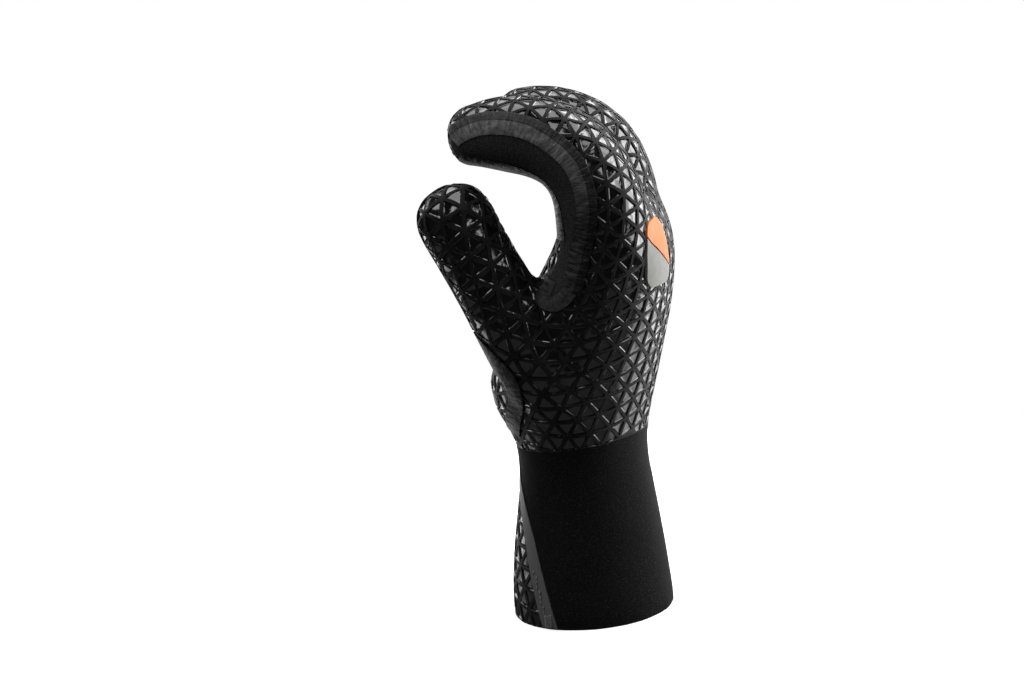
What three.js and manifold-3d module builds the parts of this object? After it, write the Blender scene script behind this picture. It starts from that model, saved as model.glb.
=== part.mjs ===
// Split-finger wetsuit mitt for the right hand, with a thumb, an index and middle stall, and a ring and
// little finger stall.
// Millimetres, +Z from the hem up to the fingers, +X the back of the hand, -Y the thumb's side.
// The origin is the centre of the wrist opening, in the plane of the hem.
import * as THREE from "three";
import { mergeVertices } from "three/addons/utils/BufferGeometryUtils.js";
import Module from "manifold-3d";

const wasm = await Module();
wasm.setup();

// Driving dimensions.
const neopreneWall = 5;
const pieceGap = 0.3; // between neighbouring panels
const tapeGap = 0.3; // under a seam tape
const tapeThickness = 0.8;
const cuffHeight = 79; // at the middle of the hand
const cuffSeamTilt = THREE.MathUtils.degToRad(4); // the seam is higher on the back of the hand
const farAway = 160; // past every side of the mitt, for cutters

// The hollow forms, one row for each section: its centre, its half thickness (palm to back), its half
// breadth (thumb side to little finger side) and how square it is, where 2 is an ellipse.
const handSections = [
  { x: 0, y: 0, z: 0, thick: 35.4, wide: 39.5, square: 2 },
  { x: -0.2, y: 0, z: 18, thick: 34.4, wide: 38.5, square: 2 },
  { x: 0.3, y: 0, z: 38, thick: 31.8, wide: 36.8, square: 2 },
  { x: 0.9, y: 0, z: 56, thick: 29.1, wide: 35, square: 2 },
  { x: 1, y: 0, z: 68, thick: 27.6, wide: 34.5, square: 2 },
  { x: 0.7, y: 0, z: 80, thick: 28.7, wide: 37, square: 2 },
  { x: -1, y: 0, z: 94, thick: 34, wide: 41, square: 2.1 },
  { x: 0.8, y: 0, z: 110, thick: 36.6, wide: 44.5, square: 2.2 },
  { x: 7.8, y: 0, z: 127, thick: 34.2, wide: 46, square: 2.3 },
  { x: 15, y: 0, z: 143, thick: 30, wide: 46.5, square: 2.4 },
  { x: 20, y: 0, z: 157, thick: 26, wide: 46.5, square: 2.5 },
  { x: 22.4, y: 0, z: 168, thick: 22, wide: 46, square: 2.5 },
  { x: 22, y: 0, z: 177, thick: 19, wide: 44.5, square: 2.5 },
];
const indexSections = [
  { x: 21, y: -23.5, z: 150, thick: 18, wide: 19.5, square: 2.4 },
  { x: 23.2, y: -24, z: 165, thick: 19.6, wide: 21.6, square: 2.5 },
  { x: 23, y: -24.5, z: 180, thick: 18.8, wide: 22.5, square: 2.5 },
  { x: 19.8, y: -24.5, z: 193.4, thick: 17.2, wide: 22.5, square: 2.5 },
  { x: 12.8, y: -24.5, z: 204.4, thick: 16.6, wide: 22.5, square: 2.5 },
  { x: 1.4, y: -24.5, z: 211.6, thick: 16.6, wide: 22, square: 2.5 },
  { x: -11.5, y: -24, z: 214.6, thick: 16, wide: 21.5, square: 2.5 },
  { x: -22.5, y: -23.5, z: 215.2, thick: 14.4, wide: 20.5, square: 2.4 },
  { x: -28.8, y: -23.5, z: 214.9, thick: 13, wide: 19.5, square: 2.4 },
];
const ringSections = [
  { x: 19.5, y: 23, z: 150, thick: 17, wide: 18.5, square: 2.3 },
  { x: 21, y: 24, z: 166, thick: 18, wide: 20.2, square: 2.4 },
  { x: 20.4, y: 25, z: 180, thick: 17, wide: 20.5, square: 2.4 },
  { x: 17.6, y: 25, z: 193, thick: 16.6, wide: 20.5, square: 2.4 },
  { x: 11, y: 25, z: 203.6, thick: 16.8, wide: 20.5, square: 2.4 },
  { x: 0, y: 25, z: 211.2, thick: 16.2, wide: 20, square: 2.4 },
  { x: -11, y: 24.5, z: 214.8, thick: 15.4, wide: 19.5, square: 2.4 },
  { x: -20, y: 24, z: 215.6, thick: 14.4, wide: 19, square: 2.4 },
];
const thumbSections = [
  { x: 5, y: -20, z: 84, thick: 20, wide: 16, square: 2 },
  { x: 0, y: -26, z: 100, thick: 20, wide: 18, square: 2 },
  { x: -8, y: -31, z: 117, thick: 19, wide: 18, square: 2 },
  { x: -15.6, y: -35.5, z: 134, thick: 17.4, wide: 17, square: 2 },
  { x: -23, y: -37.5, z: 150, thick: 16.2, wide: 16.4, square: 2 },
  { x: -30.4, y: -39, z: 166, thick: 16, wide: 16, square: 2 },
  { x: -36.8, y: -40, z: 180.5, thick: 16.6, wide: 15.8, square: 2 },
];
const handTube = { sections: handSections, sides: 34, stations: 16, tip: 11, level: true };
const indexTube = { sections: indexSections, sides: 22, stations: 12, tip: 11.5 };
const ringTube = { sections: ringSections, sides: 22, stations: 11, tip: 11 };
const thumbTube = { sections: thumbSections, sides: 20, stations: 9, tip: 15.5 };
const tipRings = 4;
const tipBluntness = 2.3;
const hollowShare = 0.7; // the hollow is made of fewer facets than the outside

// The seam round the smooth gusset on the thumb's side of the index stall, in X and Z, from the tip along
// the back, round the thumb's web and along the palm side.
const sideGussetSeam = [
  { x: -35.5, z: 215.5 },
  { x: -25, z: 220.4 },
  { x: -15, z: 221 },
  { x: -6, z: 219.6 },
  { x: 1.2, z: 216.8 },
  { x: 9, z: 211.4 },
  { x: 15.3, z: 205 },
  { x: 19, z: 198 },
  { x: 21, z: 188 },
  { x: 20.4, z: 178 },
  { x: 17.4, z: 168 },
  { x: 14.2, z: 158 },
  { x: 11, z: 149.4 },
  { x: 4, z: 144 },
  { x: -1.4, z: 146.4 },
  { x: 1.4, z: 154 },
  { x: 5, z: 162 },
  { x: 7, z: 170 },
  { x: 7, z: 178 },
  { x: 5.6, z: 186.4 },
  { x: 1, z: 193.6 },
  { x: -7.4, z: 198.8 },
  { x: -15, z: 201.6 },
  { x: -24, z: 204.2 },
  { x: -33.4, z: 207.4 },
];
const sideGussetPoints = 40;
const sideGussetDepth = -34; // the gusset's cutter ends here in Y, inside the hollow

// The seam round the lining of the split, on the two walls that face each other, in X and Z.
const splitGussetSeam = [
  { x: 34, z: 172 },
  { x: 34.2, z: 182 },
  { x: 29.5, z: 197.6 },
  { x: 20.2, z: 212 },
  { x: 5.8, z: 221.6 },
  { x: -9.5, z: 225.4 },
  { x: -29, z: 224 },
  { x: -38, z: 219.5 },
  { x: -39.5, z: 215.5 },
  { x: -38, z: 211.5 },
  { x: -29, z: 207 },
  { x: -13.5, z: 204.4 },
  { x: -3.8, z: 201.2 },
  { x: 3.8, z: 196 },
  { x: 8.5, z: 188.4 },
  { x: 10.8, z: 178 },
  { x: 11, z: 172 },
];
const splitGussetPoints = 34;
const splitGussetRange = { from: -11, to: 13 }; // in Y

// The seam between the palm panel and the back panel: up the little finger side in X and Z, through the
// thumb in Y and Z, and over the heel of the hand in X and Z.
const littleFingerSeam = [
  { x: -1, z: 60 },
  { x: -1, z: 94 },
  { x: 1, z: 110 },
  { x: 8, z: 127 },
  { x: 15, z: 143 },
  { x: 19, z: 157 },
  { x: 19.5, z: 168 },
  { x: 18.6, z: 180 },
  { x: 15.5, z: 191 },
  { x: 9.4, z: 201 },
  { x: -0.5, z: 208.6 },
  { x: -12, z: 212.4 },
  { x: -24, z: 213.4 },
];
const littleFingerPoints = 22;
const thumbSeam = [
  { y: -26, z: 60 },
  { y: -26, z: 112 },
  { y: -37, z: 119 },
  { y: -38.5, z: 150 },
  { y: -39.8, z: 168 },
  { y: -41, z: 214 },
];
const heelSeam = [
  { x: -27, z: 76 },
  { x: -24.4, z: 85 },
  { x: -22, z: 92 },
  { x: -19, z: 99 },
  { x: -18, z: 106 },
  { x: -19.6, z: 113 },
  { x: -26, z: 121 },
  { x: -36, z: 130 },
];
const heelPoints = 14;
const heelDepth = -24;

// The grip panel on the palm side of the cuff, by its half angle about the wrist, from the hem up.
const cuffGripRadius = 36;
const cuffGripPoints = 14;
const cuffGripLeast = 0.01; // radians, where the panel has run out
const cuffGripAngles = [
  { z: -10, degrees: 76 },
  { z: 4, degrees: 71.5 },
  { z: 20, degrees: 64.4 },
  { z: 40, degrees: 54 },
  { z: 58, degrees: 38 },
  { z: 72, degrees: 21 },
  { z: 90, degrees: 8 },
];

// The seam tapes.
const cuffTapeHalf = 3.6;
const cuffTapeRange = { y: 0, z: 38, wide: 160, high: 74.8, corner: 0.4 };
const indexTape = { seam: sideGussetSeam.slice(0, 15), count: 30, half: 4.6, depth: -30 };
const palmTape = { seam: sideGussetSeam.slice(15), count: 18, half: 2.4, depth: -30 };
const heelTape = { seam: heelSeam.slice(1), count: 14, half: 4, depth: -20 };

// A plain badge on the back of the hand.
const badge = { y: -19, z: 160, wide: 26, high: 28, corner: 6, from: 20 }; // from this X outwards
const cornerSteps = 3; // round each corner of the badge and of the cuff tapes

// The hollow starts below the hem, which leaves the cuff open.
const hemRange = { from: -4, to: 0.5 };

// A manifold solid of a closed geometry.
function solidOf(geometry) {
  const bare = geometry.clone();
  bare.deleteAttribute("normal");
  bare.deleteAttribute("uv");
  const merged = mergeVertices(bare);
  return new wasm.Manifold(
    new wasm.Mesh({
      numProp: 3,
      vertProperties: new Float32Array(merged.attributes.position.array),
      triVerts: new Uint32Array(merged.index.array),
    }),
  );
}

// The geometry of a manifold solid.
function geometryOf(solid) {
  const mesh = solid.getMesh();
  const geometry = new THREE.BufferGeometry();
  geometry.setAttribute("position", new THREE.BufferAttribute(mesh.vertProperties, 3));
  geometry.setIndex(new THREE.BufferAttribute(mesh.triVerts, 1));
  return geometry;
}

// Joins rings of equal length into a closed skin, with a fan at each end round the end's own point.
function skinOf(rings, firstPoint, lastPoint) {
  const sides = rings[0].length;
  const points = [...rings.flat(), firstPoint, lastPoint];
  const first = rings.length * sides;
  const top = first - sides;
  const index = [];
  for (let side = 0; side < sides; side += 1) {
    const next = (side + 1) % sides;
    for (let low = 0; low < top; low += sides) {
      const high = low + sides;
      index.push(low + side, low + next, high + next, low + side, high + next, high + side);
    }
    index.push(first, next, side, first + 1, top + side, top + next);
  }
  const geometry = new THREE.BufferGeometry().setFromPoints(points);
  geometry.setIndex(index);
  return geometry;
}

// The centre, directions and sizes of a tube's section at t, from 0 to 1.
function sectionAt(tube, t) {
  const centres = new THREE.CatmullRomCurve3(tube.sections.map((r) => new THREE.Vector3(r.x, r.y, r.z)));
  const measures = tube.sections.map((r) => new THREE.Vector3(r.thick, r.wide, r.square));
  const sizes = new THREE.CatmullRomCurve3(measures);
  const along = tube.level ? new THREE.Vector3(0, 0, 1) : centres.getTangent(t);
  const wideways = new THREE.Vector3(0, 1, 0).addScaledVector(along, -along.y).normalize();
  const backwards = wideways.clone().cross(along).normalize();
  const size = sizes.getPoint(t);
  const centre = centres.getPoint(t);
  return { centre, along, wideways, backwards, thick: size.x, wide: size.y, square: size.z };
}

// A ring of points round a section, grown by grow and then shrunk by scale.
function ringOf(section, sides, grow, scale) {
  const bulge = (v) => Math.sign(v) * Math.abs(v) ** (2 / section.square);
  return Array.from({ length: sides }, (_, side) => {
    const angle = (2 * Math.PI * side) / sides;
    return section.centre
      .clone()
      .addScaledVector(section.backwards, (section.thick + grow) * scale * bulge(Math.cos(angle)))
      .addScaledVector(section.wideways, (section.wide + grow) * scale * bulge(Math.sin(angle)));
  });
}

// A tube with a flat start and a rounded tip, grown on all sides, with a share of its facets.
function tubeSolid(tube, grow, share) {
  const sides = 2 * Math.round((tube.sides * share) / 2);
  const stations = Math.round(tube.stations * share);
  const rings = [];
  for (let station = 0; station <= stations; station += 1) {
    rings.push(ringOf(sectionAt(tube, station / stations), sides, grow, 1));
  }
  const end = sectionAt(tube, 1);
  const tip = tube.tip + grow;
  for (let ring = 1; ring < tipRings; ring += 1) {
    const rise = Math.sin((ring / tipRings) * (Math.PI / 2));
    const scale = (1 - rise ** tipBluntness) ** (1 / tipBluntness);
    const moved = { ...end, centre: end.centre.clone().addScaledVector(end.along, tip * rise) };
    rings.push(ringOf(moved, sides, grow, scale));
  }
  const apex = end.centre.clone().addScaledVector(end.along, tip);
  return solidOf(skinOf(rings, sectionAt(tube, 0).centre, apex));
}

// The whole mitt as one solid form, grown on all sides.
function mittForm(grow, share = 1) {
  return [handTube, thumbTube, indexTube, ringTube]
    .map((tube) => tubeSolid(tube, grow, share))
    .reduce((form, tube) => form.add(tube));
}

// Evenly spaced points along a smooth curve through a seam's table.
function smoothed(seam, closed, count) {
  const knots = seam.map(({ x, z }) => new THREE.Vector3(x, z, 0));
  const curve = new THREE.CatmullRomCurve3(knots, closed, "centripetal");
  const points = curve.getSpacedPoints(count);
  return (closed ? points.slice(0, -1) : points).map((p) => new THREE.Vector2(p.x, p.y));
}

// Points moved sideways off their own line, to its right.
function offsetLine(points, distance, closed) {
  const last = points.length - 1;
  return points.map((point, i) => {
    const before = points[closed ? (i + last) % (last + 1) : Math.max(i - 1, 0)];
    const after = points[closed ? (i + 1) % (last + 1) : Math.min(i + 1, last)];
    const run = after.clone().sub(before).normalize();
    return new THREE.Vector2(point.x + run.y * distance, point.y - run.x * distance);
  });
}

// The outline of a band on both sides of an open line.
function bandOf(points, half) {
  return [...offsetLine(points, half, false), ...offsetLine(points, -half, false).reverse()];
}

// A prism of an outline in X and Z, between two values of Y.
function prismInY(outline, fromY, toY) {
  const settings = { depth: toY - fromY, bevelEnabled: false };
  const geometry = new THREE.ExtrudeGeometry(new THREE.Shape(outline), settings);
  return solidOf(geometry.rotateX(Math.PI / 2).translate(0, toY, 0));
}

// A prism of an outline in Y and Z, between two values of X.
function prismInX(outline, fromX, toX) {
  const settings = { depth: toX - fromX, bevelEnabled: false };
  const geometry = new THREE.ExtrudeGeometry(new THREE.Shape(outline), settings);
  return solidOf(geometry.rotateX(Math.PI / 2).rotateZ(Math.PI / 2).translate(fromX, 0, 0));
}

// All that lies under the seam between the cuff and the hand.
function belowCuffSeam(grow) {
  const geometry = new THREE.BoxGeometry(2 * farAway, 2 * farAway, farAway);
  geometry.translate(0, 0, grow - farAway / 2);
  return solidOf(geometry.rotateY(-cuffSeamTilt).translate(0, 0, cuffHeight));
}

// A cone from the middle of the wrist through the edge of the grip panel, which follows the cuff's table.
function cuffSector(grow) {
  const apex = new THREE.Vector3(0, 0, cuffHeight / 2);
  const knots = cuffGripAngles.map(({ z, degrees }) => new THREE.Vector3(degrees, 0, z));
  const curve = new THREE.CatmullRomCurve3(knots);
  const edge = curve.getPoints(cuffGripPoints).map(({ x, z }) => {
    const half = Math.max(THREE.MathUtils.degToRad(x) + grow / cuffGripRadius, cuffGripLeast);
    const outwards = new THREE.Vector3(-Math.cos(half), Math.sin(half), 0);
    const spot = outwards.multiplyScalar(cuffGripRadius).setZ(z);
    return spot.sub(apex).multiplyScalar(farAway / cuffGripRadius).add(apex);
  });
  const mirrored = edge.map((p) => new THREE.Vector3(p.x, -p.y, p.z));
  const middle = new THREE.Vector3(-farAway, 0, cuffHeight / 2);
  return solidOf(skinOf([[...mirrored, ...edge.reverse()]], apex, middle));
}

// The cutter of the smooth gusset on the thumb's side. It reaches through that wall and no further.
function sideGussetCut(grow) {
  const outline = offsetLine(smoothed(sideGussetSeam, true, sideGussetPoints), -grow, true);
  return prismInY(outline, -farAway, sideGussetDepth + grow);
}

// The cutter of the lining of the split.
function splitGussetCut(grow) {
  const outline = offsetLine(smoothed(splitGussetSeam, true, splitGussetPoints), grow, true);
  return prismInY(outline, splitGussetRange.from - grow, splitGussetRange.to + grow);
}

// All that belongs to the palm panel: the palm side of the little finger seam and of the thumb seam, and the
// heel of the hand.
function palmSide(grow) {
  const far = farAway * 2;
  const edge = offsetLine(smoothed(littleFingerSeam, false, littleFingerPoints), grow, false);
  const edgeTop = edge[edge.length - 1].y;
  const across = [new THREE.Vector2(-far, edge[0].y), ...edge, new THREE.Vector2(-far, edgeTop)];
  const thumb = thumbSeam.map(({ y, z }) => new THREE.Vector2(y - grow, z));
  const thumbTop = new THREE.Vector2(thumb[thumb.length - 1].x, far);
  const thumbFoot = new THREE.Vector2(far, thumb[0].y);
  const sideways = [thumbFoot, new THREE.Vector2(far, far), thumbTop, ...thumb.reverse()];
  const heel = offsetLine(smoothed(heelSeam, false, heelPoints), grow, false);
  const heelTop = heel[heel.length - 1].y;
  const heelOutline = [new THREE.Vector2(-far, heel[0].y), ...heel, new THREE.Vector2(-far, heelTop)];
  return prismInY(across, -far, far)
    .intersect(prismInX(sideways, -far, far))
    .add(prismInY(heelOutline, -far, heelDepth));
}

// A rounded rectangle in Y and Z.
function roundedOutline({ y, z, wide, high, corner }) {
  const shape = new THREE.Shape();
  const right = y + wide / 2 - corner;
  const left = y - wide / 2 + corner;
  const top = z + high / 2 - corner;
  const bottom = z - high / 2 + corner;
  shape.absarc(right, top, corner, 0, Math.PI / 2);
  shape.absarc(left, top, corner, Math.PI / 2, Math.PI);
  shape.absarc(left, bottom, corner, Math.PI, 1.5 * Math.PI);
  shape.absarc(right, bottom, corner, 1.5 * Math.PI, 2 * Math.PI);
  return shape.getPoints(cornerSteps).slice(0, -1);
}

// The neoprene shell, open at the hem, and the panels that it is sewn from.
const hemRows = [
  { ...handSections[0], z: hemRange.from },
  { ...handSections[0], z: hemRange.to },
];
const hemTube = { ...handTube, sections: hemRows, stations: 2, tip: 2 * neopreneWall };
const shell = mittForm(0)
  .subtract(mittForm(-neopreneWall, hollowShare))
  .subtract(tubeSolid(hemTube, -neopreneWall, hollowShare));
const sleeve = shell.intersect(belowCuffSeam(0));
const hand = shell.subtract(belowCuffSeam(pieceGap));
const sidePanel = hand.intersect(sideGussetCut(0));
const besideGusset = hand.subtract(sideGussetCut(pieceGap));
const splitPanel = besideGusset.intersect(splitGussetCut(0));
const textured = besideGusset.subtract(splitGussetCut(pieceGap));

// The tapes and the badge are cut from a thin skin over the panels.
const skin = mittForm(tapeGap + tapeThickness).subtract(mittForm(tapeGap));

// A tape along a seam on the thumb's side.
function thumbSideTape({ seam, count, half, depth }) {
  return skin.intersect(prismInY(bandOf(smoothed(seam, false, count), half), -farAway, depth));
}

const cuffTapes = skin
  .intersect(belowCuffSeam(0))
  .intersect(cuffSector(cuffTapeHalf))
  .subtract(cuffSector(-cuffTapeHalf))
  .intersect(prismInX(roundedOutline(cuffTapeRange), -farAway, farAway))
  .decompose()
  .sort((a, b) => a.boundingBox().min[1] - b.boundingBox().min[1]);

const grip = { color: 0x1d1e20, roughness: 0.5, metalness: 0 };
const jersey = { color: 0x131416, roughness: 0.95, metalness: 0 };
const tape = { color: 0x47484a, roughness: 0.6, metalness: 0 };
const badgeRubber = { color: 0xe08a45, roughness: 0.55, metalness: 0 };
const pieces = {
  cuff: [sleeve.subtract(cuffSector(pieceGap)), jersey],
  cuff_grip_wedge: [sleeve.intersect(cuffSector(0)), grip],
  back_panel: [textured.subtract(palmSide(pieceGap)), grip],
  palm_panel: [textured.intersect(palmSide(0)), grip],
  index_gusset: [sidePanel, jersey],
  split_gusset: [splitPanel, jersey],
  index_seam_tape: [thumbSideTape(indexTape), tape],
  palm_seam_tape: [thumbSideTape(palmTape), tape],
  thumb_seam_tape: [thumbSideTape(heelTape), tape],
  cuff_tape_near: [cuffTapes[0], tape],
  cuff_tape_far: [cuffTapes[1], tape],
  back_badge: [skin.intersect(prismInX(roundedOutline(badge), badge.from, farAway)), badgeRubber],
};

const mitt = new THREE.Group();
mitt.name = "split_finger_mitt";
for (const [name, [solid, look]] of Object.entries(pieces)) {
  const mesh = new THREE.Mesh(geometryOf(solid), new THREE.MeshStandardMaterial(look));
  mesh.name = name;
  mitt.add(mesh);
}

export default mitt;
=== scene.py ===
import bpy
import math
import time
import numpy
from mathutils import Vector, Matrix
from mathutils.bvhtree import BVHTree


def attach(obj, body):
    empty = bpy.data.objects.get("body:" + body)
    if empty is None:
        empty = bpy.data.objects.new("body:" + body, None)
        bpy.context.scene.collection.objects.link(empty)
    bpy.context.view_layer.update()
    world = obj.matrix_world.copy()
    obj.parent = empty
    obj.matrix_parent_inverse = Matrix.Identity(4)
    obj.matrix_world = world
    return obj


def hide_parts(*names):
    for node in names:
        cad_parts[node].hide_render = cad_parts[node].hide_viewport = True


# Split-finger wetsuit mitt. Metres, fingers up +Z, back of the hand +X, thumb's side -Y.
for spare in ("Cube", "Light", "Camera"):  # what a new file holds
    if spare in bpy.data.objects:
        bpy.data.objects.remove(bpy.data.objects[spare])
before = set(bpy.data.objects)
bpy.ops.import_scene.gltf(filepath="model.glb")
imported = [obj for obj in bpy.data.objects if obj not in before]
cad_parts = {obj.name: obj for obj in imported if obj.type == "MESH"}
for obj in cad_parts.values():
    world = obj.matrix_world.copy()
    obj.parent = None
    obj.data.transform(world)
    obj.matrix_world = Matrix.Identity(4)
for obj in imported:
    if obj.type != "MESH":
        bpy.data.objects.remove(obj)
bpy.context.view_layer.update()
startTime = time.time()


def say(text):
    print(f"[{time.time() - startTime:5.1f} s] {text}")


# Selection and modifiers

def objectMode():
    if bpy.context.mode != "OBJECT":
        bpy.ops.object.mode_set(mode="OBJECT")


def active():
    return bpy.context.view_layer.objects.active


def only(*objects):
    objectMode()
    bpy.ops.object.select_all(action="DESELECT")
    for obj in objects:
        obj.select_set(True)
    bpy.context.view_layer.objects.active = objects[0]
    return objects[0]


def editAll(obj, select="SELECT"):
    only(obj)
    bpy.ops.object.mode_set(mode="EDIT")
    bpy.ops.mesh.select_mode(type="FACE")
    bpy.ops.mesh.select_all(action=select)


def faceOut(obj):
    editAll(obj)
    bpy.ops.mesh.normals_make_consistent(inside=False)
    objectMode()


def duplicate(obj, name):
    only(obj)
    bpy.ops.object.duplicate()
    copy = active()
    copy.name = name
    copy.data.name = name
    return copy


def applyModifier(obj, kind, **settings):
    only(obj)
    modifier = obj.modifiers.new(kind.lower(), kind)
    for key, value in settings.items():
        setattr(modifier, key, value)
    bpy.ops.object.modifier_apply(modifier=modifier.name)


def selectFaces(obj, wanted):
    # picks faces in code, from a list of true and false
    objectMode()
    mesh = obj.data
    mesh.vertices.foreach_set("select", [False] * len(mesh.vertices))
    mesh.edges.foreach_set("select", [False] * len(mesh.edges))
    mesh.polygons.foreach_set("select", wanted)
    only(obj)
    bpy.ops.object.mode_set(mode="EDIT")
    bpy.ops.mesh.select_mode(type="FACE")


def remove(*objects):
    for obj in objects:
        bpy.data.objects.remove(obj)


def shadeSmooth(obj, degrees):
    only(obj)
    bpy.ops.object.shade_smooth_by_angle(angle=math.radians(degrees))


# The form: every panel is cut from one smooth shell, 5 mm thick

form = {
    "nodes": ["cuff", "cuff_grip_wedge", "back_panel", "palm_panel", "index_gusset", "split_gusset"],
    "voxel": 0.0018,
    "smoothOuter": 14,
    "smoothInner": 10,
    "swell": 0.00035,  # gives back what the smoothing takes
    "hemCut": 0.002,  # the rough hem is cut off here and drawn down again
    "weld": 0.00001,
    "smoothing": 0.5,
    "rim": (-0.7, 0.0012),  # the hem's faces point down more than this, and lie under this height
}
outerSlot, innerSlot, cutSlot, paneSlot = 0, 1, 2, 3  # faces of a panel by where they came from
shownSlots = (outerSlot, paneSlot)
latticeAngle, plainAngle = 16, 40  # degrees: sharper edges stay sharp
draftRadius = 0.1  # of a circle or a cone, before its corners are placed


def trimHem(skin, height):
    # a clean edge: cut above the rough rim, then draw the rim down to the hem's plane
    editAll(skin)
    bpy.ops.mesh.bisect(plane_co=(0, 0, height), plane_no=(0, 0, 1), clear_inner=True)
    bpy.ops.mesh.extrude_region_move(TRANSFORM_OT_translate={"value": (0, 0, -height)})
    objectMode()


def makeShell(settings):
    copies = [duplicate(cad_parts[name], "form " + name) for name in settings["nodes"]]
    shell = only(*copies)
    bpy.ops.object.join()
    shell.name = "shell"
    shell.parent = None
    editAll(shell)
    bpy.ops.mesh.remove_doubles(threshold=settings["weld"])
    objectMode()
    applyModifier(shell, "REMESH", mode="VOXEL", voxel_size=settings["voxel"])
    down, height = settings["rim"]
    selectFaces(shell, [p.normal.z < down and p.center.z < height for p in shell.data.polygons])
    bpy.ops.mesh.delete(type="FACE")
    bpy.ops.mesh.select_all(action="SELECT")
    bpy.ops.mesh.separate(type="LOOSE")
    objectMode()
    parts = sorted(bpy.context.selected_objects, key=lambda obj: obj.dimensions.y)
    inner, outer = parts[-2], parts[-1]
    remove(*parts[:-2])
    skins = ((outer, settings["smoothOuter"], outerSlot), (inner, settings["smoothInner"], innerSlot))
    for skin, rounds, slotNumber in skins:
        applyModifier(skin, "SMOOTH", factor=settings["smoothing"], iterations=rounds)
        skin.data.materials.clear()
        for label in ("outer", "inner", "cut", "pane"):
            skin.data.materials.append(bpy.data.materials.get(label) or bpy.data.materials.new(label))
        skin.data.polygons.foreach_set("material_index", [slotNumber] * len(skin.data.polygons))
        trimHem(skin, settings["hemCut"])
    applyModifier(outer, "DISPLACE", strength=settings["swell"], mid_level=0)
    return outer, inner


outer, inner = makeShell(form)
say("form")


# Seams: short lists of points in metres, as (x, z), or (y, z) on the thumb

seams = {
    "gusset": [  # from the tip along the back, round the web of the thumb, back along the palm side
        (-0.0355, 0.2155), (-0.025, 0.2204), (-0.015, 0.221), (-0.006, 0.2196), (0.0012, 0.2168),
        (0.009, 0.2114), (0.0153, 0.205), (0.019, 0.198), (0.021, 0.188), (0.0204, 0.178),
        (0.0174, 0.168), (0.0142, 0.158), (0.011, 0.1494), (0.004, 0.144), (-0.0014, 0.1464),
        (0.0014, 0.154), (0.005, 0.162), (0.007, 0.17), (0.007, 0.178), (0.0056, 0.1864),
        (0.001, 0.1936), (-0.0074, 0.1988), (-0.015, 0.2016), (-0.024, 0.2042), (-0.0334, 0.2074),
    ],
    "split": [
        (0.034, 0.172), (0.0342, 0.182), (0.0295, 0.1976), (0.0202, 0.212), (0.0058, 0.2216),
        (-0.0095, 0.2254), (-0.029, 0.224), (-0.038, 0.2195), (-0.0395, 0.2155), (-0.038, 0.2115),
        (-0.029, 0.207), (-0.0135, 0.2044), (-0.0038, 0.2012), (0.0038, 0.196), (0.0085, 0.1884),
        (0.0108, 0.178), (0.011, 0.172),
    ],
    "littleFinger": [
        (-0.001, 0.06), (-0.001, 0.094), (0.001, 0.11), (0.008, 0.127), (0.015, 0.143),
        (0.019, 0.157), (0.0195, 0.168), (0.0186, 0.18), (0.0155, 0.191), (0.0094, 0.201),
        (-0.0005, 0.2086), (-0.012, 0.2124), (-0.024, 0.2134),
    ],
    "thumb": [
        (-0.026, 0.06), (-0.026, 0.112), (-0.037, 0.119), (-0.0385, 0.15), (-0.0398, 0.168),
        (-0.041, 0.214),
    ],
    "heel": [
        (-0.027, 0.076), (-0.0244, 0.085), (-0.022, 0.092), (-0.019, 0.099), (-0.018, 0.106),
        (-0.0196, 0.113), (-0.026, 0.121), (-0.036, 0.13),
    ],
    "cuffHeight": 0.079,
    "cuffTilt": math.radians(4),
    "wedge": [  # height and half the wedge's angle
        (-0.01, 76), (0.004, 71.5), (0.02, 64.4), (0.04, 54), (0.058, 38), (0.072, 21), (0.09, 8),
    ],
    "wedgeRadius": 0.036,
    "wedgeLeast": 0.01,  # its half angle never gets smaller, in radians
    "closed": ("gusset", "split"),
    "coarse": ("wedge", "thumb"),
    "steps": 4,  # points from one listed point to the next
    "coarseSteps": 3,
    "weld": 0.0003,
    "gussetDepth": -0.034,  # on Y: how far each cut goes in
    "splitRange": (-0.011, 0.013),
    "heelDepth": -0.024,
    "gap": 0.00012,  # between two panels
    "far": 0.16,  # past the mitt on every side
}


def smoothLine(points, steps, closed=False):
    # a Catmull-Rom curve through the points
    count = len(points)
    spans = count if closed else count - 1
    line = []
    for span in range(spans):
        if closed:
            a, b, c, d = (Vector(points[(span + k) % count]) for k in (-1, 0, 1, 2))
        else:
            a, b, c, d = (Vector(points[min(max(span + k, 0), count - 1)]) for k in (-1, 0, 1, 2))
        for step in range(steps):
            t = step / steps
            curve = 2 * b + (c - a) * t + (2 * a - 5 * b + 4 * c - d) * t * t
            line.append(0.5 * (curve + (3 * b - a - 3 * c + d) * t ** 3))
    if not closed:
        line.append(Vector(points[-1]))
    return line


def seamLine(name):
    steps = seams["coarseSteps"] if name in seams["coarse"] else seams["steps"]
    return smoothLine(seams[name], steps, closed=name in seams["closed"])


def offsetLine(line, distance, closed=False):
    # moves a flat line to its own right
    last = len(line) - 1
    moved = []
    for i, point in enumerate(line):
        before = line[i - 1] if closed or i > 0 else line[0]
        after = line[(i + 1) % (last + 1)] if closed or i < last else line[last]
        run = (after - before).normalized()
        moved.append(Vector((point.x + run.y * distance, point.y - run.x * distance)))
    return moved


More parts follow.
